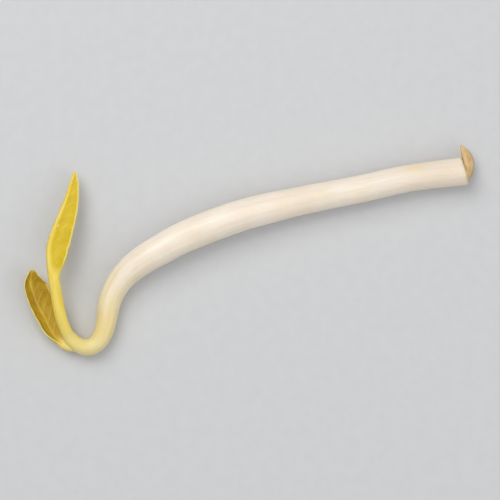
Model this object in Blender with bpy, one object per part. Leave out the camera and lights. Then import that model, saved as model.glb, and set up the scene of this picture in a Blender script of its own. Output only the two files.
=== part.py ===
"""Mung bean sprout lying on its side: snapped stem, hooked top and two folded leaves.

Metres, +Z up. The sprout rests on z = 0 and its plan is centred on the origin.
Routes below are written in millimetres and turned into metres by MM.
"""
import math

import bmesh
import bpy
import numpy as np

MM = 0.001

# Driving dimensions, millimetres.
STEM_END_DIAMETER = 2.7
STEM_STOUT_DIAMETER = 3.05
STEM_NECK_DIAMETER = 1.5
LONG_PETIOLE_DIAMETER = 1.15
CURLED_PETIOLE_DIAMETER = 0.85
BLADE_THICKNESS = 0.3
MIDRIB_THICKNESS = 0.55
LONG_BLADE_WIDTH = 2.15         # midrib to margin
CURLED_BLADE_WIDTH = 1.95
SHRED_WIDTH = 1.0
SHRED_THICKNESS = 0.3
SHRED_END_SHARE = 0.3           # share of its width that the shred keeps at its ends

# Shares of a leaf's whole length.
LONG_PETIOLE_SHARE = 0.40
CURLED_PETIOLE_SHARE = 0.22

# Angles, degrees.
STEM_END_SLANT = 8.0            # the snapped face leans this far off square
LONG_LEAF_FOLD = (-15.0, 13.0)  # each half blade's direction, from level right towards up
CURLED_LEAF_FOLD = (108.0, 14.0)

# Stem centreline in plan, from the snapped end to the fork: x, y, diameter, lift off the surface.
STEM_ROUTE = (
    (20.1, 7.4, STEM_END_DIAMETER, 0.0),
    (15.0, 6.75, 2.62, 0.0),
    (10.2, 5.7, 2.62, 0.0),
    (4.7, 4.6, 2.75, 0.0),
    (-0.8, 3.25, STEM_STOUT_DIAMETER, 0.0),
    (-5.4, 1.55, STEM_STOUT_DIAMETER, 0.0),
    (-8.3, 0.1, 2.95, 0.0),
    (-10.5, -1.25, 2.75, 0.0),
    (-12.1, -2.75, 2.42, 0.0),
    (-13.1, -4.65, 2.08, 0.0),
    (-13.55, -6.65, 1.84, 0.0),
    (-14.1, -8.35, 1.66, 0.05),
    (-15.15, -9.2, 1.58, 0.2),
    (-16.3, -8.8, STEM_NECK_DIAMETER, 0.45),
)

# Leaf spines, from the petiole's foot to the tip: x, y, z.
LONG_LEAF_ROUTE = (
    (-16.8, -8.2, 1.55),
    (-17.7, -6.25, 2.05),
    (-18.2, -3.35, 2.4),
    (-18.55, -1.05, 2.4),
    (-18.55, 0.55, 2.25),
    (-17.95, 2.45, 2.0),
    (-17.15, 4.65, 1.65),
    (-16.7, 6.25, 1.35),
    (-16.45, 7.05, 1.2),
)
CURLED_LEAF_ROUTE = (
    (-17.2, -9.05, 1.1),
    (-18.1, -8.55, 0.95),
    (-18.95, -7.65, 0.8),
    (-19.7, -6.35, 0.65),
    (-20.35, -5.1, 0.6),
    (-20.75, -3.85, 0.75),
    (-20.7, -2.75, 1.1),
    (-20.25, -2.05, 1.5),
)

# Strip of root skin still hanging on the snapped face: x, y, z.
SHRED_ROUTE = (
    (20.7, 6.75, 1.6),
    (20.75, 7.85, 1.75),
    (20.5, 8.95, 1.75),
    (19.8, 9.85, 1.6),
)

# Blade outline: share of the blade's length, share of its full width.
BLADE_OUTLINE = (
    (0.0, 0.3),
    (0.06, 0.72),
    (0.18, 0.97),
    (0.34, 1.0),
    (0.6, 0.78),
    (0.82, 0.44),
    (1.0, 0.1),
)

# Shape of a leaf's cross-section.
FOLD_ROUNDING = 0.1             # share of the half width over which the fold is rounded
BLADE_BELLY = 0.1               # how far each half bulges outwards, as a share of its width
MIDRIB_SHARE = 0.3              # share of the half width that the thick midrib takes
OPENING_SHARE = 0.1             # share of the blade over which the petiole opens into it
CROWDING = 1.3                  # above 1, ring points crowd towards the fold
CREASE_CLEARANCE = 0.02         # least gap between the halves' inner faces, as a share of u's width
CREASE_LIMIT = 0.9              # share of each half that may be joined to the other
TIP_THINNING = 0.6              # share of its thickness that the blade loses towards the tip
ROUND_SECTION = 2.0             # superellipse power of the petiole and of the shred
FLAT_SECTION = 3.5              # superellipse power of the blade

# Facets.
STEM_STATIONS = 64
STEM_SIDES = 20
LEAF_STATIONS = 40
LEAF_SIDES = 28
SHRED_STATIONS = 8
SHRED_SIDES = 8
CREASE_STEPS = 46               # places at which the halves' distance is tried
CURVE_STEPS = 24                # points between two route points before they are evened out
SHARP_EDGE = 40                 # degrees

# Colours, linear RGB.
STEM_COLOUR = (0.83, 0.74, 0.60)
LONG_LEAF_COLOUR = (0.68, 0.51, 0.05)
CURLED_LEAF_COLOUR = (0.62, 0.46, 0.06)
SHRED_COLOUR = (0.62, 0.40, 0.17)


def clear_scene():
    """Remove every object that the open file holds."""
    for old in list(bpy.data.objects):
        bpy.data.objects.remove(old, do_unlink=True)


def plant_material(name, colour, roughness):
    """A plain non-metallic Principled material."""
    material = bpy.data.materials.new(name)
    material.use_nodes = True
    shader = material.node_tree.nodes["Principled BSDF"]
    shader.inputs["Base Color"].default_value = (*colour, 1.0)
    shader.inputs["Roughness"].default_value = roughness
    shader.inputs["Metallic"].default_value = 0.0
    return material


def smooth_rows(rows, count):
    """Rows read at even spacing from a Catmull-Rom curve through the given rows."""
    knots = np.array(rows, dtype=float)
    padded = np.vstack([2 * knots[0] - knots[1], knots, 2 * knots[-1] - knots[-2]])
    dense = []
    for start in range(len(knots) - 1):
        before, here, there, after = padded[start:start + 4]
        for t in np.linspace(0.0, 1.0, CURVE_STEPS, endpoint=False):
            bend = (2 * here + (there - before) * t
                    + (2 * before - 5 * here + 4 * there - after) * t ** 2
                    + (3 * here - before - 3 * there + after) * t ** 3)
            dense.append(0.5 * bend)
    dense.append(knots[-1])
    dense = np.array(dense)
    steps = np.linalg.norm(np.diff(dense[:, :3], axis=0), axis=1)
    travelled = np.concatenate([[0.0], np.cumsum(steps)])
    wanted = np.linspace(0.0, travelled[-1], count)
    columns = [np.interp(wanted, travelled, dense[:, k]) for k in range(dense.shape[1])]
    return np.stack(columns, axis=1)


def smooth_step(value):
    """0 to 1 with a soft start and a soft end."""
    value = min(max(value, 0.0), 1.0)
    return value * value * (3 - 2 * value)


def side_and_up(points):
    """For each point of a path: the level direction to its right, and the one above it."""
    ahead = np.gradient(points, axis=0)
    ahead /= np.linalg.norm(ahead, axis=1, keepdims=True)
    side = np.cross(ahead, (0.0, 0.0, 1.0))
    side /= np.linalg.norm(side, axis=1, keepdims=True)
    return side, np.cross(side, ahead)


def loft(name, rings, material):
    """One closed body through equal rings of points, with a flat cap on each end."""
    mesh = bpy.data.meshes.new(name)
    shape = bmesh.new()
    loops = [[shape.verts.new(point * MM) for point in ring] for ring in rings]
    sides = len(loops[0])
    for lower, upper in zip(loops, loops[1:]):
        for k in range(sides):
            after = (k + 1) % sides
            shape.faces.new((lower[k], lower[after], upper[after], upper[k]))
    shape.faces.new(list(reversed(loops[0])))
    shape.faces.new(loops[-1])
    bmesh.ops.recalc_face_normals(shape, faces=shape.faces)
    shape.to_mesh(mesh)
    shape.free()
    mesh.shade_smooth()
    mesh.set_sharp_from_angle(angle=math.radians(SHARP_EDGE))
    mesh.materials.append(material)
    piece = bpy.data.objects.new(name, mesh)
    bpy.context.scene.collection.objects.link(piece)
    return piece


def build_stem():
    """The white stem and its hooked top, resting on the surface for most of its length."""
    plan = np.array(STEM_ROUTE)
    diameters = plan[:, 2]
    heights = plan[:, 3] + diameters / 2
    rows = smooth_rows(np.column_stack([plan[:, :2], heights, diameters]), STEM_STATIONS)
    centres = rows[:, :3]
    side, up = side_and_up(centres)
    ahead = np.cross(up, side)
    slant = math.tan(math.radians(STEM_END_SLANT))
    rings = []
    for i, centre in enumerate(centres):
        radius = rows[i, 3] / 2
        lean = slant if i == 0 else 0.0
        ring = []
        for k in range(STEM_SIDES):
            angle = math.tau * k / STEM_SIDES
            across = radius * math.cos(angle)
            above = radius * math.sin(angle)
            ring.append(centre + side[i] * across + up[i] * above + ahead[i] * across * lean)
        rings.append(ring)
    return loft("stem", rings, plant_material("stem", STEM_COLOUR, 0.4))


def direction(degrees):
    """A unit vector in the section plane, measured from side towards up."""
    return np.array((math.cos(math.radians(degrees)), math.sin(math.radians(degrees))))


def strip_middle(u, half_width, first, second, belly):
    """The middle of a folded strip at u, from -1 at one margin through 0 at the fold to 1."""
    mean = (direction(first) + direction(second)) / 2
    spread = (direction(second) - direction(first)) / 2
    bend = math.hypot(u, FOLD_ROUNDING)
    second_share = (1 + u / bend) / 2
    outward = direction(first + 90) * (1 - second_share) + direction(second - 90) * second_share
    fold = mean * (bend - FOLD_ROUNDING) + spread * u
    return half_width * (fold + outward * belly * math.sin(math.pi * abs(u)))


def strip_point(u, half_width, thickness, fold, belly, squareness, face):
    """A point on the strip's surface at u, on the face that looks left (1) or right (-1) of u."""
    step = 0.01
    ahead = strip_middle(u + step, half_width, *fold, belly)
    along = ahead - strip_middle(u - step, half_width, *fold, belly)
    along /= np.linalg.norm(along)
    normal = np.array((-along[1], along[0]))
    edge = face * max(1 - abs(u) ** squareness, 0.0) ** (1 / squareness)
    thick = thickness[1] + (thickness[0] - thickness[1]) * math.exp(-(u / MIDRIB_SHARE) ** 2)
    return strip_middle(u, half_width, *fold, belly) + normal * edge * thick / 2


def crease_share(fold, face, shape):
    """How far from the fold, as a share of each half, a face meets its own other half."""
    across = direction(fold[1]) - direction(fold[0])
    meeting = 0.0
    for u in np.linspace(0.0, CREASE_LIMIT, CREASE_STEPS)[1:-1]:
        if np.dot(strip_point(u, *shape, face), across) < CREASE_CLEARANCE * shape[0] * u:
            meeting = u
    return meeting + CREASE_LIMIT / (CREASE_STEPS - 1) if meeting else 0.0


def strip_ring(centre, side, up, half_width, thickness, fold, belly, squareness, sides):
    """A closed ring round a strip folded along its middle.

    thickness is (at the fold, at the margins), fold the two halves' directions in degrees.
    Where the two halves' inner faces would meet, the strip is solid between them.
    """
    half = sides // 2
    shape = (half_width, thickness, fold, belly, squareness)
    crease = {face: crease_share(fold, face, shape) for face in (1, -1)}
    ring = []
    for k in range(sides):
        face = 1 if k < half else -1
        share = 1 - 2 * (k % half) / half
        reach = crease[face] + (1 - crease[face]) * abs(share) ** CROWDING
        if share:
            flat = strip_point(face * math.copysign(reach, share), *shape, face)
        else:
            flat = (strip_point(reach, *shape, face) + strip_point(-reach, *shape, face)) / 2
        ring.append(centre + side * flat[0] + up * flat[1])
    return ring


def build_leaf(name, route, petiole_share, petiole_diameter, blade_width, fold, colour):
    """A leaf: a round petiole that opens into a blade folded along its midrib."""
    centres = smooth_rows(route, LEAF_STATIONS)
    side, up = side_and_up(centres)
    shares, widths = zip(*BLADE_OUTLINE)
    turned = fold[0] % 360.0
    rings = []
    for i, centre in enumerate(centres):
        t = i / (LEAF_STATIONS - 1)
        blade_t = (t - petiole_share) / (1 - petiole_share)
        opening = smooth_step(blade_t / OPENING_SHARE + 0.5)
        taper = 1 - TIP_THINNING * smooth_step(blade_t)
        blade = blade_width * float(np.interp(blade_t, shares, widths))
        half_width = petiole_diameter / 2 * (1 - opening) + blade * opening
        at_fold = petiole_diameter * (1 - opening) + MIDRIB_THICKNESS * taper * opening
        at_margin = petiole_diameter * (1 - opening) + BLADE_THICKNESS * taper * opening
        first = 180.0 + (turned - 180.0) * opening
        squareness = ROUND_SECTION + (FLAT_SECTION - ROUND_SECTION) * opening
        rings.append(strip_ring(centre, side[i], up[i], half_width, (at_fold, at_margin),
                                (first, fold[1] * opening), BLADE_BELLY * opening,
                                squareness, LEAF_SIDES))
    return loft(name, rings, plant_material(name, colour, 0.45))


def build_root_shred():
    """A thin curved flap of tan root skin beside the snapped face."""
    centres = smooth_rows(SHRED_ROUTE, SHRED_STATIONS)
    side, up = side_and_up(centres)
    rings = []
    for i, centre in enumerate(centres):
        t = i / (SHRED_STATIONS - 1)
        swell = math.sin(math.pi * t)
        half_width = SHRED_WIDTH / 2 * (SHRED_END_SHARE + (1 - SHRED_END_SHARE) * swell)
        rings.append(strip_ring(centre, side[i], up[i], half_width, (SHRED_THICKNESS, SHRED_THICKNESS),
                                (180.0, 0.0), 0.0, ROUND_SECTION, SHRED_SIDES))
    return loft("root_shred", rings, plant_material("root_shred", SHRED_COLOUR, 0.7))


def main():
    clear_scene()
    build_stem()
    build_leaf("leaf_long", LONG_LEAF_ROUTE, LONG_PETIOLE_SHARE, LONG_PETIOLE_DIAMETER,
               LONG_BLADE_WIDTH, LONG_LEAF_FOLD, LONG_LEAF_COLOUR)
    build_leaf("leaf_curled", CURLED_LEAF_ROUTE, CURLED_PETIOLE_SHARE, CURLED_PETIOLE_DIAMETER,
               CURLED_BLADE_WIDTH, CURLED_LEAF_FOLD, CURLED_LEAF_COLOUR)
    build_root_shred()


main()
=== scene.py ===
"""Looks of a mung bean sprout that lies on its side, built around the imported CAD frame.

Routes and sizes are in millimetres, and MM turns them into metres. The sprout rests on z = 0.
The photo's right is +X and its up is +Y.
"""
import math

import bmesh
import bpy
import numpy as np
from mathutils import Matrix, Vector, noise


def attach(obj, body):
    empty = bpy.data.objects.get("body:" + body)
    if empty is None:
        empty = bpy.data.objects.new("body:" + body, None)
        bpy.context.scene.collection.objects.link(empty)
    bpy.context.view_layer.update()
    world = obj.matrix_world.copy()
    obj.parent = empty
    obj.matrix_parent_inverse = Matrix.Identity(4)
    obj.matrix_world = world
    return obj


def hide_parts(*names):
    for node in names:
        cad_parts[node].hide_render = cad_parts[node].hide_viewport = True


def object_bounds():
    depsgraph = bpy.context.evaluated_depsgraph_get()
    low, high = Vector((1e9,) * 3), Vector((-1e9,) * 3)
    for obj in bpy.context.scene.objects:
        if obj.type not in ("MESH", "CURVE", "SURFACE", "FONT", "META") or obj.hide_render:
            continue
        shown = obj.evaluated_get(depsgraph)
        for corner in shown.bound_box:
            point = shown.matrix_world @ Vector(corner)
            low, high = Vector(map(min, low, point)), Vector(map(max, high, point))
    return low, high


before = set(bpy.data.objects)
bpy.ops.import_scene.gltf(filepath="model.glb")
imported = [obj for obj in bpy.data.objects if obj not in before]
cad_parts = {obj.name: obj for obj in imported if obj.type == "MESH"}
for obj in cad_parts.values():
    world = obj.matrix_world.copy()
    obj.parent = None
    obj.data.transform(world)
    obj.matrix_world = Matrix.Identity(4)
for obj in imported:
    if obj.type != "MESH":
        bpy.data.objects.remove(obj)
cad_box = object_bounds()

MM = 0.001

# ---------------------------------------------------------------- routes and outlines

# Stem centreline from the snapped end to the fork: x, y, diameter, lift off the surface,
# ripeness (0 is white, 1 is yellow).
STEM_ROUTE = (
    (20.1, 7.4, 2.7, 0.0, 0.0),
    (15.0, 6.75, 2.62, 0.0, 0.0),
    (10.2, 5.7, 2.62, 0.0, 0.0),
    (4.7, 4.6, 2.75, 0.0, 0.0),
    (-0.8, 3.25, 3.05, 0.0, 0.0),
    (-5.4, 1.55, 3.05, 0.0, 0.0),
    (-8.3, 0.1, 2.95, 0.0, 0.04),
    (-10.5, -1.25, 2.75, 0.0, 0.14),
    (-12.1, -2.75, 2.42, 0.0, 0.34),
    (-13.1, -4.65, 2.16, 0.0, 0.52),
    (-13.43, -6.4, 1.98, 0.0, 0.66),
    (-13.76, -7.75, 1.84, 0.02, 0.78),
    (-14.38, -8.77, 1.7, 0.08, 0.88),
    (-15.3, -9.18, 1.6, 0.2, 0.97),
    (-16.25, -8.87, 1.5, 0.42, 1.07),
    (-17.0, -8.05, 1.28, 0.83, 1.25),
    (-17.4, -7.15, 0.98, 1.31, 1.3),
)
# Leaf spines from inside the fork to the tip: x, y, z.
LONG_LEAF_ROUTE = (
    (-15.3, -9.18, 1.0),
    (-16.25, -8.87, 1.17),
    (-17.0, -8.05, 1.48),
    (-17.7, -6.25, 2.05),
    (-18.2, -3.35, 2.4),
    (-18.55, -1.05, 2.4),
    (-18.55, 0.55, 2.25),
    (-17.95, 2.45, 2.0),
    (-17.15, 4.65, 1.65),
    (-16.7, 6.25, 1.35),
    (-16.45, 7.05, 1.2),
)
CURLED_LEAF_ROUTE = (
    (-15.9, -9.05, 1.12),
    (-16.6, -9.1, 1.12),
    (-17.3, -9.02, 1.08),
    (-17.95, -8.5, 0.95),
    (-18.6, -7.65, 0.8),
    (-19.3, -6.35, 0.65),
    (-20.0, -5.05, 0.6),
    (-20.45, -3.85, 0.75),
    (-20.62, -2.9, 1.1),
    (-20.5, -2.15, 1.5),
)
SHRED_ROUTE = (
    (20.2, 6.45, 1.5),
    (20.5, 7.15, 1.62),
    (20.52, 8.05, 1.72),
    (20.3, 8.95, 1.72),
    (19.75, 9.8, 1.6),
)
# Blade outlines: share of the blade's length, share of its full width.
LONG_OUTLINE = (
    (-0.1, 0.5), (0.0, 0.66), (0.08, 0.82), (0.18, 0.96), (0.34, 1.0),
    (0.5, 0.92), (0.65, 0.78), (0.82, 0.56), (0.93, 0.38), (1.0, 0.17),
)
CURLED_OUTLINE = (
    (-0.1, 0.3), (0.0, 0.45), (0.1, 0.7), (0.25, 0.94), (0.45, 1.0),
    (0.7, 0.95), (0.86, 0.84), (0.95, 0.64), (1.0, 0.4),
)
# The shred: share of its length, half its width.
SHRED_OUTLINE = ((0.0, 0.16), (0.2, 0.42), (0.45, 0.58), (0.65, 0.54), (0.85, 0.32), (1.0, 0.07))

# ---------------------------------------------------------------- the two leaves

LONG_LEAF = {
    "route": LONG_LEAF_ROUTE,
    "outline": LONG_OUTLINE,
    "cad_length": 16.04,        # the CAD leaf's whole length
    "petiole_share": 0.40,      # the share of it that comes before the blade
    "petiole_diameter": 1.12,
    "base_diameter": 1.32,
    "blade_width": 2.15,        # greatest width of one half
    "thickness": (0.5, 0.2),    # at the midrib, in the blade
    "fold": (-15.0, 13.0),      # degrees at which the halves stand, from side towards up
    "inner_face": -1,           # the face that lies inside the fold and takes the painted shade, 1 or -1
    "shift": 0.26,              # how far the open blade moves aside of its spine
    "rib_width": 0.34,          # extra width of the midrib's colour where the blade starts
    "has_highlight": 1.0,             # 1 where the blade has the painted highlight
    "seed": 3.0,
    "vein_gap": 1.25,
    "sway": 3.0,                # degrees by which the halves sway along the blade
    "ragged": 0.03,             # unevenness of the outline
}
CURLED_LEAF = {
    "route": CURLED_LEAF_ROUTE,
    "outline": CURLED_OUTLINE,
    "cad_length": 8.63,
    "petiole_share": 0.15,
    "petiole_diameter": 0.85,
    "base_diameter": 1.05,
    "blade_width": 1.9,
    "thickness": (0.42, 0.2),
    "fold": (104.0, 14.0),
    "inner_face": 1,
    "shift": 0.1,
    "rib_width": 0.1,
    "has_highlight": 0.0,
    "seed": 11.0,
    "vein_gap": 1.05,
    "sway": 5.0,
    "ragged": 0.04,
}
# inner is painted shade: the darker golden-brown of the face inside the fold.
LONG_COLOURS = {
    "face": (0.69, 0.51, 0.012), "shade": (0.62, 0.44, 0.009), "inner": (0.50, 0.34, 0.012),
}
CURLED_COLOURS = {
    "face": (0.70, 0.52, 0.022), "shade": (0.61, 0.435, 0.015), "inner": (0.52, 0.345, 0.022),
}

# ---------------------------------------------------------------- resolution

CURVE_STEPS = 40                # steps between two rows of a route
EASE = 0.3                      # length over which a route's kinks are rounded off
STEM_STATIONS, STEM_SIDES = 620, 96
LEAF_STATIONS, LEAF_SIDES = 320, 96
SHRED_STATIONS, SHRED_SIDES = 70, 40
FACE_RINGS = 26                 # rings across the snapped face
NOSE_RINGS = 8                  # rings that round off an end

# ---------------------------------------------------------------- stem

STEM_END_SLANT = 8.0            # degrees that the snapped face leans off square
SLANT_FADE = 2.0                # length over which the sections turn back to square
SWELLING = 0.016                # slow change of the radius, as a share of it
SWELLING_BIAS = 0.012           # keeps the thickest place inside the CAD's diameter
OVAL = 0.018                    # how far the section leaves a circle
RIDGE_RISE = 0.016
FINE_RIDGE_RISE = 0.007
DENT_DEPTH = 0.02
SKIN_INSET = 0.016              # keeps the ridges inside the CAD's diameter
GRAIN_RADIUS = 1.4              # radius of the stem in its grain coordinates
PAINTED_SHADE_LENGTH = 13.0              # length of the painted shade beside the snapped end
WARM_SPOT = (4.6, 0.75)         # a bruise: distance from the snapped end, angle round the stem
WARM_SPOT_SIZE = (0.8, 0.3)

# The snapped face. Places across it are shares of the radius.
FACE_GRAIN = 0.055              # depth of its unevenness
FINE_GRAIN_SHARE = 0.6
PITH_HOLLOW = 0.16              # depth of the hollow in the middle
PITH_REACH = 0.55
BUNDLE_RING = 0.62              # where the ring of bundles lies
BUNDLE_WIDTH = 0.09
BUNDLE_SWAY = 0.03
BUNDLES = 9
BUNDLE_RISE = 0.09
RIM_START = 0.82
RIM_CALM = 0.7                  # how much less the rim is uneven than the face
RIM_RISE = 0.05
RIM_TEAR = 0.11
BROWNED_LENGTH = 0.16           # how far the tan of the break runs along the skin

# ---------------------------------------------------------------- leaf surface

FOLD_ROUNDING = 0.1             # these shape the folded section as in the CAD
BLADE_BELLY = 0.1
MIDRIB_SHARE = 0.22
FLAT_SECTION = 4.0
TIP_THINNING = 0.5
CREASE_CLEARANCE = 0.02
CREASE_LIMIT = 0.9
CREASE_STEPS = 46
SLOPE_STEP = 0.01               # step across the strip that finds its direction
OPENING_SHARE = 0.24            # share of the blade over which the petiole opens
GROOVE_ANGLE = 28.0             # half the angle that the petiole's groove takes
CROWDING = 1.15                 # above 1, points crowd towards the midrib
BASE_FADE = 1.2                 # length over which the petiole's base narrows
FOOT_LENGTH = 0.9               # length over which the petiole swells inside the stem
FOOT_SHARE = 0.5
PETIOLE_RIDGE = 0.02
SHIFT_EASE = 0.6                # share of the sideways shift that is gone at the tip
TIP_REACH = 0.35                # the longest that a tip's rounding may be
VEIN_RISE = 0.016
VEIN_WIDTH = 0.09
VEIN_LEAN = 1.15                # how far a vein runs forward for each step outwards
VEIN_STAGGER = 0.18             # lead of the right half's veins, as a share of the gap
VEIN_FADE = (0.55, 0.4)         # where a vein starts to fade, and over how much
QUILT_RISE = 0.02               # rise of the blade between its veins
QUILT_WIDTH = 0.28
BLADE_GRAIN = 0.012
MARGIN_FLUTTER = 0.09
MARGIN_BAND = (0.22, 0.2)       # width of the paler margin, and of its soft edge
RIB_WIDTH = 0.16                # half-width of the midrib's colour at the tip
PAINTED_HIGHLIGHT = (0.47, 0.16)        # a painted highlight: share of the blade's length, place across it
PAINTED_HIGHLIGHT_SIZE = (0.025, 0.12)
PAINTED_HIGHLIGHT_STRENGTH = 0.75
PAINTED_LIGHT_SPOT = (0.84, -0.05)     # painted light: a place in the hollow where the painted shade gives way, given in the same way
PAINTED_LIGHT_SPOT_SIZE = (0.09, 0.28)
PALE_FOOT = (2.0, 1.8)          # the petiole's foot has the stem's yellow: its length, its fade

# ---------------------------------------------------------------- shred surface

SHRED_THICKNESS = (0.07, 0.03)  # half the thickness, and how much it changes
SHRED_TEAR = (0.10, 0.06)       # coarse and fine tears in its edge, as shares of its width
SHRED_GUTTER = 0.28             # how far both edges curl down
SHRED_CURL = 0.22               # how much more the left edge curls at the foot
SHRED_CURL_EASE = 0.6           # share of that curl that is gone at the tip
SHRED_RIPPLE = 0.03
SHRED_DEPTH = 1.6               # depth of these forms for each step of width
SHRED_LIFT = 0.06

# ---------------------------------------------------------------- stage

FLOOR_SIZE = 2.0                # metres, as are all lengths from here on
FLOOR_SEGMENTS = 8
FLOOR_DROP = 0.00001            # the floor lies this far under the sprout
# Softboxes: name, place, size, power, colour.
LIGHTS = (
    ("key", (-0.12, 0.16, 0.24), 0.20, 0.56, (1.0, 0.985, 0.96)),
    ("fill", (0.20, -0.10, 0.20), 0.24, 0.26, (1.0, 0.99, 0.97)),
    ("top", (0.0, 0.02, 0.34), 0.26, 0.22, (1.0, 1.0, 1.0)),
)
WORLD_COLOUR = (0.93, 0.95, 1.0, 1.0)
WORLD_STRENGTH = 0.42
EXPOSURE = -0.1
CAMERA_HEIGHT = 0.262
CAMERA_LENS, CAMERA_SENSOR = 200.0, 36.0
CAMERA_CLIP = (0.01, 10.0)


# ---------------------------------------------------------------- curves and noise

def smooth_rows(rows, count):
    """Rows read at even spacing from a Catmull-Rom curve through the given rows."""
    knots = np.array(rows, dtype=float)
    padded = np.vstack([2 * knots[0] - knots[1], knots, 2 * knots[-1] - knots[-2]])
    dense = []
    for start in range(len(knots) - 1):
        before, here, there, after = padded[start:start + 4]
        for t in np.linspace(0.0, 1.0, CURVE_STEPS, endpoint=False):
            bend = (2 * here + (there - before) * t
                    + (2 * before - 5 * here + 4 * there - after) * t ** 2
                    + (3 * here - before - 3 * there + after) * t ** 3)
            dense.append(0.5 * bend)
    dense.append(knots[-1])
    dense = np.array(dense)
    travelled = run_length(dense[:, :3])
    wanted = np.linspace(0.0, travelled[-1], count)
    spacing = travelled[-1] / (count - 1)
    columns = [eased(np.interp(wanted, travelled, column), spacing) for column in dense.T]
    return np.stack(columns, axis=1)


def eased(values, spacing):
    """Evenly spaced values with their kinks rounded off over EASE. The two ends stay."""
    reach = int(3 * EASE / spacing)
    weights = np.exp(-0.5 * (np.arange(-reach, reach + 1) * spacing / EASE) ** 2)
    before = 2 * values[0] - values[reach:0:-1]
    after = 2 * values[-1] - values[-2:-reach - 2:-1]
    padded = np.concatenate([before, values, after])
    return np.convolve(padded, weights / weights.sum(), "valid")


def run_length(points):
    """Distance travelled along a path, at each of its points."""
    steps = np.linalg.norm(np.diff(points, axis=0), axis=1)
    return np.concatenate([[0.0], np.cumsum(steps)])


def smooth_step(value):
    """0 to 1 with a soft start and a soft end."""
    value = min(max(value, 0.0), 1.0)
    return value * value * (3 - 2 * value)


def bell(value, middle, width):
    """1 at the middle, falling softly to 0 over about two widths."""
    return math.exp(-((value - middle) / width) ** 2)


def side_and_up(points):
    """For each point of a path: the level direction to its right, and the one above it."""
    ahead = np.gradient(points, axis=0)
    ahead /= np.linalg.norm(ahead, axis=1, keepdims=True)
    side = np.cross(ahead, (0.0, 0.0, 1.0))
    side /= np.linalg.norm(side, axis=1, keepdims=True)
    return side, np.cross(side, ahead)


def wave(x, y, z):
    """Smooth noise, about -1 to 1, that changes over about one unit."""
    return noise.noise(Vector((x, y, z)))


# ---------------------------------------------------------------- mesh

class Skin:
    """Collects rings of points with values for the material, and makes one closed piece."""

    def __init__(self, name, fields):
        self.name = name
        self.fields = fields
        self.rings = []

    def ring(self, points, **values):
        """Adds a ring. Each value is one number for the ring or a list with one per point."""
        row = {"points": [np.asarray(point, float) for point in points]}
        for field in self.fields:
            value = values[field]
            row[field] = value if hasattr(value, "__len__") else [value] * len(points)
        self.rings.append(row)

    def faces(self, count):
        """Faces between the rings, and strips from side to side over the first and the last."""
        faces = []
        last = (len(self.rings) - 1) * count
        for start in range(0, last, count):
            for k in range(count):
                after = (k + 1) % count
                faces.append((start + k, start + after,
                              start + count + after, start + count + k))
        for first in (0, last):
            for k in range(count // 2):
                corners = (k, k + 1, count - k - 1, (count - k) % count)
                faces.append([first + corner for corner in dict.fromkeys(corners)])
        return faces

    def shape(self, material):
        """Makes the piece, held inside the CAD's box."""
        points = [point for row in self.rings for point in row["points"]]
        placed = np.clip(np.array(points) * MM, *(np.array(corner) for corner in cad_box))
        mesh = bpy.data.meshes.new(self.name)
        mesh.from_pydata(placed.tolist(), [], self.faces(len(self.rings[0]["points"])))
        for field in self.fields:
            values = np.array([value for row in self.rings for value in row[field]],
                              dtype=np.float32)
            kind, key = ("FLOAT_VECTOR", "vector") if values.ndim > 1 else ("FLOAT", "value")
            mesh.attributes.new(field, kind, "POINT").data.foreach_set(key, values.ravel())
        turned = bmesh.new()
        turned.from_mesh(mesh)
        bmesh.ops.recalc_face_normals(turned, faces=turned.faces)
        turned.to_mesh(mesh)
        turned.free()
        mesh.shade_smooth()
        mesh.materials.append(material)
        piece = bpy.data.objects.new(self.name, mesh)
        bpy.context.scene.collection.objects.link(piece)
        return piece


# ---------------------------------------------------------------- materials

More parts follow.
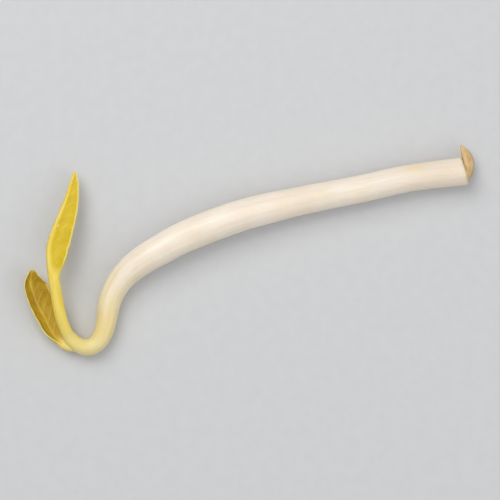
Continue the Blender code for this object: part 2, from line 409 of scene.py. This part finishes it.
class Nodes:
    """A material's node tree, with short calls for the nodes used here."""

    def __init__(self, name):
        self.material = bpy.data.materials.new(name)
        self.material.use_nodes = True
        self.tree = self.material.node_tree
        self.shader = self.tree.nodes["Principled BSDF"]

    def add(self, kind, **settings):
        node = self.tree.nodes.new("ShaderNode" + kind)
        for key, value in settings.items():
            setattr(node, key, value)
        return node

    def feed(self, socket, value):
        """Sets a socket to a number or a colour, or links it to another socket."""
        if isinstance(value, (int, float)):
            socket.default_value = value
        elif isinstance(value, tuple):
            socket.default_value = (*value, 1.0)
        else:
            self.tree.links.new(value, socket)

    def field(self, name, output="Fac"):
        """A number or vector stored on the mesh."""
        return self.add("Attribute", attribute_name=name).outputs[output]

    def noise(self, vector, scale, detail, rough):
        node = self.add("TexNoise")
        self.feed(node.inputs["Vector"], vector)
        self.feed(node.inputs["Scale"], scale)
        self.feed(node.inputs["Detail"], detail)
        self.feed(node.inputs["Roughness"], rough)
        return node.outputs["Fac"]

    def streaks(self, vector, stretch, detail, rough):
        """Noise with a scale of its own along each axis."""
        node = self.add("VectorMath", operation="MULTIPLY")
        self.feed(node.inputs[0], vector)
        node.inputs[1].default_value = stretch
        return self.noise(node.outputs[0], 1.0, detail, rough)

    def cells(self, vector, scale):
        """Distance to the nearest cell wall of a Voronoi pattern."""
        node = self.add("TexVoronoi", feature="DISTANCE_TO_EDGE")
        self.feed(node.inputs["Vector"], vector)
        self.feed(node.inputs["Scale"], scale)
        return node.outputs["Distance"]

    def spread(self, value, low, high, to_low=0.0, to_high=1.0):
        """Maps low..high smoothly to to_low..to_high."""
        node = self.add("MapRange", interpolation_type="SMOOTHSTEP")
        self.feed(node.inputs["Value"], value)
        self.feed(node.inputs["From Min"], low)
        self.feed(node.inputs["From Max"], high)
        self.feed(node.inputs["To Min"], to_low)
        self.feed(node.inputs["To Max"], to_high)
        return node.outputs["Result"]

    def maths(self, operation, first, second):
        node = self.add("Math", operation=operation)
        self.feed(node.inputs[0], first)
        self.feed(node.inputs[1], second)
        return node.outputs[0]

    def mix(self, factor, first, second):
        """first and second are colours or colour sockets."""
        node = self.add("Mix", data_type="RGBA")
        self.feed(node.inputs[0], factor)
        self.feed(node.inputs[6], first)
        self.feed(node.inputs[7], second)
        return node.outputs[2]

    def tint(self, colour, mask, low, high, amount, shade):
        """Lays up to amount of shade over colour where mask rises from low to high."""
        return self.mix(self.spread(mask, low, high, 0.0, amount), colour, shade)

    def bump(self, height, strength, distance_mm, before=None):
        node = self.add("Bump")
        self.feed(node.inputs["Strength"], strength)
        self.feed(node.inputs["Distance"], distance_mm * MM)
        self.feed(node.inputs["Height"], height)
        if before is not None:
            self.feed(node.inputs["Normal"], before)
        return node.outputs["Normal"]

    def finish(self, colour, roughness, normal, subsurface, radius, depth_mm, gloss=0.5,
               coat=0.0, coat_roughness=0.3):
        inputs = self.shader.inputs
        self.feed(inputs["Base Color"], colour)
        self.feed(inputs["Roughness"], roughness)
        self.feed(inputs["Normal"], normal)
        self.feed(inputs["Subsurface Weight"], subsurface)
        inputs["Subsurface Radius"].default_value = radius
        self.feed(inputs["Subsurface Scale"], depth_mm * MM)
        self.feed(inputs["IOR"], 1.4)
        self.feed(inputs["Specular IOR Level"], gloss)
        self.feed(inputs["Coat Weight"], coat)
        self.feed(inputs["Coat Roughness"], coat_roughness)
        return self.material


def stem_material():
    """Waxy white tissue, striped lengthwise: yellow towards the hook, tan where it is snapped,
    with painted shade beside the snapped end.
    """
    n = Nodes("stem_tissue")
    grain = n.field("grain", "Vector")
    ripe = n.field("ripe")
    stripes = n.streaks(grain, (2.6, 2.6, 0.10), 4.0, 0.6)
    fine = n.streaks(grain, (9.0, 9.0, 0.35), 3.0, 0.6)
    clouds = n.noise(grain, 0.22, 3.0, 0.5)
    blotches = n.streaks(grain, (0.9, 0.9, 0.35), 2.0, 0.5)
    specks = n.streaks(grain, (3.2, 3.2, 1.6), 2.0, 0.5)

    white = n.mix(n.spread(clouds, 0.35, 0.65), (0.90, 0.82, 0.71), (0.86, 0.755, 0.62))
    white = n.tint(white, stripes, 0.45, 0.7, 0.5, (0.80, 0.69, 0.53))
    yellow = n.mix(n.spread(clouds, 0.35, 0.65), (0.80, 0.69, 0.34), (0.81, 0.665, 0.24))
    yellow = n.tint(yellow, stripes, 0.45, 0.7, 0.45, (0.76, 0.58, 0.15))
    striped_ripe = n.maths("ADD", ripe, n.spread(stripes, 0.3, 0.7, -0.12, 0.12))
    colour = n.mix(n.spread(striped_ripe, 0.05, 1.0), white, yellow)
    colour = n.tint(colour, ripe, 0.95, 1.25, 1.0, (0.84, 0.68, 0.215))
    # Painted shade: the stretch beside the snapped end is darkened towards a dull tan.
    colour = n.tint(colour, n.field("dull"), 0.0, 1.0, 0.5, (0.79, 0.68, 0.54))
    colour = n.tint(colour, n.field("warm"), 0.0, 1.0, 0.7, (0.88, 0.66, 0.40))
    colour = n.tint(colour, fine, 0.5, 0.75, 0.25, (0.72, 0.60, 0.42))
    colour = n.tint(colour, blotches, 0.62, 0.78, 0.35, (0.80, 0.60, 0.36))
    colour = n.tint(colour, specks, 0.74, 0.80, 0.5, (0.55, 0.34, 0.15))
    colour = n.tint(colour, n.field("cut"), 0.0, 1.0, 0.85, (0.62, 0.40, 0.19))

    rough = n.maths("ADD", n.spread(clouds, 0.3, 0.7, 0.34, 0.46),
                    n.spread(fine, 0.3, 0.7, -0.05, 0.06))
    normal = n.bump(fine, 0.35, 0.05, n.bump(stripes, 0.35, 0.09))
    return n.finish(colour, rough, normal, subsurface=0.65, radius=(1.0, 0.72, 0.42),
                    depth_mm=0.9, gloss=0.5, coat=0.25, coat_roughness=0.28)


def leaf_material(name, face, shade, inner):
    """Golden tissue with paler ribs, veins and margins, a petiole of the stem's yellow, and
    painted shade inside the fold.
    """
    n = Nodes(name)
    grain = n.field("grain", "Vector")
    inner_shade = n.field("inner_shade")
    clouds = n.noise(grain, 0.9, 3.0, 0.55)
    net = n.cells(grain, 5.0)
    stripes = n.streaks(grain, (6.0, 0.4, 6.0), 3.0, 0.6)
    fine = n.noise(grain, 9.0, 3.0, 0.6)
    shade_pockets = n.noise(grain, 0.75, 2.0, 0.5)

    colour = n.mix(n.spread(clouds, 0.35, 0.68), face, shade)
    # Painted shade inside the fold: a darker golden-brown, with darker pockets of painted shade.
    hollow_shade = n.tint(inner, shade_pockets, 0.48, 0.68, 0.6, (0.38, 0.235, 0.015))
    colour = n.mix(n.spread(inner_shade, 0.0, 1.0), colour, hollow_shade)
    colour = n.mix(n.spread(net, 0.0, 0.10, 0.16, 0.0), colour, (0.80, 0.64, 0.12))
    colour = n.tint(colour, n.field("vein"), 0.15, 1.0, 0.28, (0.82, 0.67, 0.16))
    colour = n.tint(colour, n.field("margin"), 0.0, 1.0, 0.75, (0.84, 0.73, 0.27))
    petiole = n.mix(n.spread(stripes, 0.4, 0.7), (0.85, 0.68, 0.14), (0.78, 0.59, 0.08))
    petiole = n.tint(petiole, n.field("pale"), 0.0, 1.0, 1.0, (0.84, 0.68, 0.225))
    # The midrib's pale colour is damped under the painted shade.
    rib = n.maths("MULTIPLY", n.spread(n.field("rib"), 0.1, 0.9),
                  n.spread(inner_shade, 0.0, 1.0, 1.0, 0.4))
    colour = n.mix(rib, colour, petiole)
    colour = n.tint(colour, fine, 0.6, 0.8, 0.25, (0.55, 0.38, 0.04))

    rough = n.spread(clouds, 0.3, 0.7, 0.44, 0.56)
    normal = n.bump(net, 0.25, 0.05, n.bump(stripes, 0.25, 0.05))
    return n.finish(colour, rough, normal, subsurface=0.5, radius=(0.9, 0.65, 0.12),
                    depth_mm=0.3, gloss=0.3, coat=0.05, coat_roughness=0.35)


def shred_material():
    """Dry tan skin with streaks along it and darker, torn edges."""
    n = Nodes("root_skin")
    grain = n.field("grain", "Vector")
    streaks = n.streaks(grain, (7.0, 0.6, 7.0), 4.0, 0.6)
    clouds = n.noise(grain, 1.3, 3.0, 0.55)
    colour = n.mix(n.spread(clouds, 0.35, 0.65), (0.77, 0.575, 0.305), (0.65, 0.445, 0.20))
    colour = n.tint(colour, streaks, 0.45, 0.7, 0.5, (0.56, 0.35, 0.14))
    colour = n.tint(colour, n.field("margin"), 0.2, 1.0, 0.5, (0.42, 0.24, 0.09))
    rough = n.spread(streaks, 0.3, 0.7, 0.55, 0.75)
    normal = n.bump(streaks, 0.5, 0.08)
    return n.finish(colour, rough, normal, subsurface=0.35, radius=(0.8, 0.5, 0.25),
                    depth_mm=0.3)


def floor_material():
    """Plain pale matt paper."""
    n = Nodes("pale_floor")
    tooth = n.noise(n.add("TexCoord").outputs["Object"], 900.0, 2.0, 0.5)
    colour = n.mix(n.spread(tooth, 0.3, 0.7), (0.60, 0.605, 0.61), (0.615, 0.62, 0.625))
    rough = n.spread(tooth, 0.3, 0.7, 0.78, 0.86)
    normal = n.bump(tooth, 0.05, 0.05)
    return n.finish(colour, rough, normal, subsurface=0.0, radius=(1.0, 1.0, 1.0),
                    depth_mm=0.1)


# ---------------------------------------------------------------- stem

def build_stem():
    """The stem: lengthwise ridges, slow unevenness, a ragged snapped face and a round end."""
    plan = np.array(STEM_ROUTE)
    heights = plan[:, 3] + plan[:, 2] / 2
    columns = np.column_stack([plan[:, :2], heights, plan[:, 2], plan[:, 4]])
    rows = smooth_rows(columns, STEM_STATIONS)
    centres, radii, ripeness = rows[:, :3], rows[:, 3] / 2, rows[:, 4]
    side, up = side_and_up(centres)
    ahead = np.cross(up, side)
    travelled = run_length(centres)
    angles = math.tau * np.arange(STEM_SIDES) / STEM_SIDES
    slant = math.tan(math.radians(STEM_END_SLANT))
    skin = Skin("stem_skin", ("grain", "ripe", "cut", "dull", "warm"))

    def section(i, shrink, forward):
        """Points of the section at station i, its radius times shrink, moved forward."""
        s = travelled[i]
        slow = 1 + SWELLING * wave(s * 0.33, 3.1, 0.0) - SWELLING_BIAS
        oval = OVAL * wave(s * 0.16, 7.7, 2.0)
        points = []
        for angle in angles:
            c, z = math.cos(angle), math.sin(angle)
            ridge = (RIDGE_RISE * wave(c * 3.0, z * 3.0, s * 0.05)
                     + FINE_RIDGE_RISE * wave(c * 8.0, z * 8.0, s * 0.12))
            dents = DENT_DEPTH * wave(c * 1.1 + 5, z * 1.1, s * 0.45)
            r = radii[i] * (slow + oval * math.cos(2 * angle)) + ridge + dents - SKIN_INSET
            r *= shrink
            lean = r * c * slant * max(1 - s / SLANT_FADE, 0.0)
            points.append(centres[i] + side[i] * r * c + up[i] * r * z
                          + ahead[i] * (forward + lean))
        return points

    def grain_at(i, shrink, forward):
        reach = GRAIN_RADIUS * shrink
        return [(reach * math.cos(a), reach * math.sin(a), travelled[i] + forward)
                for a in angles]

    def snapped(share, angle):
        """At a place on the snapped face: its rise out of the face, and how tan it is."""
        c, z = math.cos(angle), math.sin(angle)
        x, y = share * c, share * z
        around = 0.5 + 0.5 * math.cos(BUNDLES * angle + 1.3 * wave(c, z, 4.0))
        ring = BUNDLE_RING + BUNDLE_SWAY * wave(c * 2, z * 2, 1.0)
        bundle = bell(share, ring, BUNDLE_WIDTH)
        rim = smooth_step((share - RIM_START) / (1 - RIM_START))
        rise = (FACE_GRAIN * wave(x * 9, y * 9, 2.0)
                + FINE_GRAIN_SHARE * FACE_GRAIN * wave(x * 20, y * 20, 5.0)
                + BUNDLE_RISE * bundle * around ** 2
                - PITH_HOLLOW * (1 - smooth_step(share / PITH_REACH)))
        torn = RIM_RISE + RIM_TEAR * max(wave(c * 4.5, z * 4.5, 8.0), -0.3)
        rise = rise * (1 - RIM_CALM * rim) + rim * torn
        tan = (0.22 + 0.5 * bundle * around + 0.85 * rim
               + 0.25 * (1 - smooth_step(share / 0.4)))
        return rise, min(1.0, tan)

    # Snapped face, from its middle out to the torn rim.
    for step in range(1, FACE_RINGS + 1):
        share = step / FACE_RINGS
        rises, tans = zip(*(snapped(share, angle) for angle in angles))
        points = [point - ahead[0] * rise
                  for point, rise in zip(section(0, share, 0.0), rises)]
        skin.ring(points, grain=grain_at(0, share, 0.0), ripe=0.0, cut=tans, dull=1.0, warm=0.0)
    # Along the stem.
    for i in range(1, STEM_STATIONS):
        s = travelled[i]
        browned = 0.9 * math.exp(-s / BROWNED_LENGTH)
        tans = [browned * (0.6 + 0.6 * wave(math.cos(a) * 3, math.sin(a) * 3, 3.0))
                for a in angles]
        warm = [bell(s, WARM_SPOT[0], WARM_SPOT_SIZE[0]) * bell(a, WARM_SPOT[1], WARM_SPOT_SIZE[1])
                for a in angles]
        skin.ring(section(i, 1.0, 0.0), grain=grain_at(i, 1.0, 0.0), ripe=ripeness[i],
                  cut=np.clip(tans, 0.0, 1.0), dull=1 - smooth_step(s / PAINTED_SHADE_LENGTH), warm=warm)
    # Round end inside the fork.
    last = STEM_STATIONS - 1
    for step in range(1, NOSE_RINGS):
        turn = math.pi / 2 * step / NOSE_RINGS
        shrink, forward = math.cos(turn), radii[last] * math.sin(turn)
        skin.ring(section(last, shrink, forward), grain=grain_at(last, shrink, forward),
                  ripe=ripeness[last], cut=0.0, dull=0.0, warm=0.0)
    return skin.shape(stem_material())


# ---------------------------------------------------------------- leaves

def direction(degrees):
    """A unit vector in the section plane, measured from side towards up."""
    return np.array((math.cos(math.radians(degrees)), math.sin(math.radians(degrees))))


def strip_middle(u, half_width, first, second, belly):
    """The middle of a folded strip at u, from -1 at one margin through 0 at the fold to 1."""
    mean = (direction(first) + direction(second)) / 2
    spread = (direction(second) - direction(first)) / 2
    bend = math.hypot(u, FOLD_ROUNDING)
    second_share = (1 + u / bend) / 2
    outward = (direction(first + 90) * (1 - second_share)
               + direction(second - 90) * second_share)
    fold = mean * (bend - FOLD_ROUNDING) + spread * u
    return half_width * (fold + outward * belly * math.sin(math.pi * abs(u)))


def strip_point(u, half_width, thickness, fold, belly, squareness, face, relief=0.0):
    """A point on the strip's surface at u, on the face that looks left (1) or right (-1) of u."""
    along = (strip_middle(u + SLOPE_STEP, half_width, *fold, belly)
             - strip_middle(u - SLOPE_STEP, half_width, *fold, belly))
    along /= np.linalg.norm(along)
    normal = np.array((-along[1], along[0]))
    edge = face * max(1 - abs(u) ** squareness, 0.0) ** (1 / squareness)
    thick = thickness[1] + (thickness[0] - thickness[1]) * bell(u, 0.0, MIDRIB_SHARE)
    return strip_middle(u, half_width, *fold, belly) + normal * (edge * thick / 2 + relief)


def crease_share(fold, face, shape):
    """How far from the fold, as a share of each half, a face meets its own other half."""
    across = direction(fold[1]) - direction(fold[0])
    meeting = 0.0
    for u in np.linspace(0.0, CREASE_LIMIT, CREASE_STEPS)[1:-1]:
        if np.dot(strip_point(u, *shape, face), across) < CREASE_CLEARANCE * shape[0] * u:
            meeting = u
    return meeting + CREASE_LIMIT / (CREASE_STEPS - 1) if meeting else 0.0


def build_leaf(name, material, route, outline, cad_length, petiole_share, petiole_diameter,
               base_diameter, blade_width, thickness, fold, inner_face, shift, rib_width,
               has_highlight, seed, vein_gap, sway, ragged):
    """A round petiole that opens into a blade folded along its midrib, with raised veins."""
    centres = smooth_rows(route, LEAF_STATIONS)
    side, up = side_and_up(centres)
    ahead = np.cross(up, side)
    travelled = run_length(centres)
    blade_length = cad_length * (1 - petiole_share)
    blade_start = travelled[-1] - blade_length
    shares, widths = zip(*outline)
    open_side = direction(fold[0]) + direction(fold[1])
    facing = math.degrees(math.atan2(open_side[1], open_side[0]))
    skin = Skin(name, ("grain", "rib", "vein", "margin", "inner_shade", "pale"))
    half = LEAF_SIDES // 2

    def half_width_at(s, blade_t):
        """Width of one half of the blade, with its uneven edge."""
        uneven = 1 + ragged * wave(s * 1.1, seed, 0.0) + 0.5 * ragged * wave(s * 3.2, seed, 4.0)
        return blade_width * float(np.interp(blade_t, shares, widths)) * uneven

    def radius_at(s):
        """Radius of the petiole: widest at its base, and narrow again inside the stem."""
        flare = (base_diameter - petiole_diameter) * math.exp(-s / BASE_FADE)
        foot = FOOT_SHARE + (1 - FOOT_SHARE) * smooth_step(s / FOOT_LENGTH)
        return (petiole_diameter + flare) / 2 * foot

    def tube_point(s, radius, share, inner):
        """A point on the round petiole, whose groove becomes the blade's fold."""
        turn = math.radians(facing - share * GROOVE_ANGLE if inner else
                            facing + 180 - share * (180 - GROOVE_ANGLE))
        c, z = math.cos(turn), math.sin(turn)
        ridge = PETIOLE_RIDGE * wave(2.2 * c, 2.2 * z, s * 0.2 + seed)
        return (radius + ridge) * np.array((c, z))

    def veins_at(s, w, right, half_width):
        """How strongly a vein shows on the blade, and the quilting between the veins."""
        phase = (s - blade_start - VEIN_LEAN * w * half_width) / vein_gap
        phase += VEIN_STAGGER if right else 0.0
        near = abs((phase + 0.5) % 1.0 - 0.5) * vein_gap
        vein = bell(near, 0.0, VEIN_WIDTH) * (1 - smooth_step((w - VEIN_FADE[0]) / VEIN_FADE[1]))
        quilt = (1 - bell(near, 0.0, QUILT_WIDTH)) * math.sin(math.pi * min(w, 1.0))
        return vein, quilt

    def section(i, shrink, forward):
        """Adds the ring at station i, its size times shrink, moved forward."""
        s = travelled[i]
        blade_t = (s - blade_start) / blade_length
        on_blade = max(blade_t, 0.0)
        opening = smooth_step(blade_t / OPENING_SHARE + 0.5)
        half_width = half_width_at(s, blade_t) * shrink
        radius = radius_at(s) * shrink
        taper = (1 - TIP_THINNING * smooth_step(blade_t)) * shrink
        angles = (fold[0] + sway * wave(s * 0.45, seed, 9.0),
                  fold[1] + sway * wave(s * 0.5, seed, 13.0))
        shape = (half_width, (thickness[0] * taper, thickness[1] * taper), angles,
                 BLADE_BELLY, FLAT_SECTION)
        crease = {face: crease_share(angles, face, shape) if opening else 0.0
                  for face in (1, -1)}
        values = {field: [] for field in skin.fields}
        points = []
        for k in range(LEAF_SIDES):
            face = 1 if k < half else -1
            inner = face == inner_face
            share = 1 - 2 * (k % half) / half
            tube = tube_point(s, radius, share, inner)
            reach = crease[face] + (1 - crease[face]) * abs(share) ** CROWDING
            u = face * math.copysign(reach, share) if share else 0.0
            w, right = abs(u), u > 0
            vein, quilt = veins_at(s, w, right, half_width)
            relief = (VEIN_RISE * vein + QUILT_RISE * quilt * (-1 if inner else 1)
                      + BLADE_GRAIN * wave(s * 3.0, w * 3.0 + (5 if right else 0), seed))
            relief *= shrink * face
            flutter = MARGIN_FLUTTER * w ** 2 * wave(s * 0.9, 4.0 if right else 8.0, seed)
            if not opening:
                flat = tube
            elif share:
                raised = relief * min(1.0, (1 - w) * 8) + flutter * shrink
                flat = strip_point(u, *shape, face, raised)
            else:
                flat = (strip_point(reach, *shape, face, relief)
                        + strip_point(-reach, *shape, face, relief)) / 2
            flat = tube * (1 - opening) + flat * opening
            aside = flat[0] - shift * opening * (1 - SHIFT_EASE * on_blade)
            points.append(centres[i] + side[i] * aside + up[i] * flat[1] + ahead[i] * forward)

            ribbed = bell(w * half_width, 0.0, RIB_WIDTH + rib_width * (1 - on_blade))
            # A painted highlight: a small pale dot in the midrib's colour.
            highlight = (PAINTED_HIGHLIGHT_STRENGTH * bell(blade_t, PAINTED_HIGHLIGHT[0], PAINTED_HIGHLIGHT_SIZE[0])
                    * bell(u, PAINTED_HIGHLIGHT[1], PAINTED_HIGHLIGHT_SIZE[1]))
            # Painted light: the painted shade of the hollow gives way where the curled tip is lit.
            painted_light = (bell(blade_t, PAINTED_LIGHT_SPOT[0], PAINTED_LIGHT_SPOT_SIZE[0])
                      * bell(u, PAINTED_LIGHT_SPOT[1], PAINTED_LIGHT_SPOT_SIZE[1]))
            inward = (1 - w) * half_width
            values["grain"].append((tube[0] * (1 - opening) + u * half_width * opening,
                                    s + forward,
                                    tube[1] * (1 - opening) + 0.6 * face * opening))
            values["rib"].append(max(1 - opening * (1 - ribbed), highlight * has_highlight))
            values["vein"].append(vein * opening)
            values["margin"].append(
                smooth_step((MARGIN_BAND[0] - inward) / MARGIN_BAND[1]) * opening)
            # Painted shade on the face inside the fold.
            values["inner_shade"].append(opening * (1 - painted_light) if inner else 0.0)
            values["pale"].append(math.exp(-max(s - PALE_FOOT[0], 0.0) / PALE_FOOT[1]))
        skin.ring(points, **values)

    for i in range(LEAF_STATIONS):
        section(i, 1.0, 0.0)
    tip = min(blade_width * widths[-1], TIP_REACH)
    for step in range(1, NOSE_RINGS):
        turn = math.pi / 2 * step / NOSE_RINGS
        section(LEAF_STATIONS - 1, math.cos(turn), tip * math.sin(turn))
    return skin.shape(material)


# ---------------------------------------------------------------- root skin

def build_shred():
    """A curved flap of root skin, gutter-shaped, with a frayed edge."""
    centres = smooth_rows(SHRED_ROUTE, SHRED_STATIONS)
    side, up = side_and_up(centres)
    travelled = run_length(centres)
    skin = Skin("root_skin_shred", ("grain", "margin"))
    half = SHRED_SIDES // 2
    for i, s in enumerate(travelled):
        t = i / (SHRED_STATIONS - 1)
        width = float(np.interp(t, *zip(*SHRED_OUTLINE)))
        points, grain, margin = [], [], []
        for k in range(SHRED_SIDES):
            face = 1 if k < half else -1
            u = face * (1 - 2 * (k % half) / half)
            torn = 1 + abs(u) * (SHRED_TEAR[0] * wave(s * 6.0, 2.0 if u > 0 else 6.0, 0.0)
                                 + SHRED_TEAR[1] * wave(s * 14.0, u * 2, 3.0))
            thick = SHRED_THICKNESS[0] + SHRED_THICKNESS[1] * wave(s * 2.0, u * 3.0, 1.0)
            edge = face * max(1 - abs(u) ** 3, 0.0) ** (1 / 3)
            gutter = (SHRED_RIPPLE * wave(u * 6.0, s * 0.8, 9.0) - SHRED_GUTTER * u * u
                      - SHRED_CURL * (1 + u) ** 2 * (1 - SHRED_CURL_EASE * t))
            lift = gutter * width * SHRED_DEPTH + edge * thick + SHRED_LIFT
            points.append(centres[i] + side[i] * (u * width * torn) + up[i] * lift)
            grain.append((u * width, s, 0.1 * face))
            margin.append(smooth_step((abs(u) - 0.6) / 0.4))
        skin.ring(points, grain=grain, margin=margin)
    return skin.shape(shred_material())


stem = build_stem()
leaf_long = build_leaf(
    "leaf_long_skin", leaf_material("leaf_long_tissue", **LONG_COLOURS), **LONG_LEAF)
leaf_curled = build_leaf(
    "leaf_curled_skin", leaf_material("leaf_curled_tissue", **CURLED_COLOURS), **CURLED_LEAF)
shred = build_shred()

for piece, node in ((stem, "stem"), (leaf_long, "leaf_long"),
                    (leaf_curled, "leaf_curled"), (shred, "root_shred")):
    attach(piece, "root")
    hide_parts(node)


# ---------------------------------------------------------------- stage, light, camera

def build_floor():
    """A plain pale floor just under the sprout."""
    mesh = bpy.data.meshes.new("floor")
    grid = bmesh.new()
    bmesh.ops.create_grid(grid, x_segments=FLOOR_SEGMENTS, y_segments=FLOOR_SEGMENTS,
                          size=FLOOR_SIZE)
    grid.to_mesh(mesh)
    grid.free()
    mesh.materials.append(floor_material())
    floor = bpy.data.objects.new("floor", mesh)
    floor.location.z = -FLOOR_DROP
    bpy.context.scene.collection.objects.link(floor)


def soft_light(name, place, size, power, colour):
    """A square softbox that looks at the middle of the sprout."""
    lamp = bpy.data.lights.new(name, "AREA")
    lamp.shape = "SQUARE"
    lamp.size = size
    lamp.energy = power
    lamp.color = colour
    light = bpy.data.objects.new(name, lamp)
    light.location = place
    light.rotation_mode = "QUATERNION"
    light.rotation_quaternion = (-Vector(place)).to_track_quat("-Z", "Y")
    light.visible_camera = False
    bpy.context.scene.collection.objects.link(light)


def build_world():
    """Even, slightly cool light from all round."""
    world = bpy.data.worlds.new("studio")
    world.use_nodes = True
    background = world.node_tree.nodes["Background"]
    background.inputs["Color"].default_value = WORLD_COLOUR
    background.inputs["Strength"].default_value = WORLD_STRENGTH
    bpy.context.scene.world = world
    bpy.context.scene.view_settings.view_transform = "Standard"
    bpy.context.scene.view_settings.exposure = EXPOSURE


def build_camera():
    """A long lens that looks straight down on the sprout."""
    lens = bpy.data.cameras.new("camera")
    lens.sensor_width = CAMERA_SENSOR
    lens.lens = CAMERA_LENS
    lens.clip_start, lens.clip_end = CAMERA_CLIP
    camera = bpy.data.objects.new("camera", lens)
    camera.location = (0.0, 0.0, CAMERA_HEIGHT)
    bpy.context.scene.collection.objects.link(camera)
    bpy.context.scene.camera = camera


build_floor()
for light in LIGHTS:
    soft_light(*light)
build_world()
build_camera()
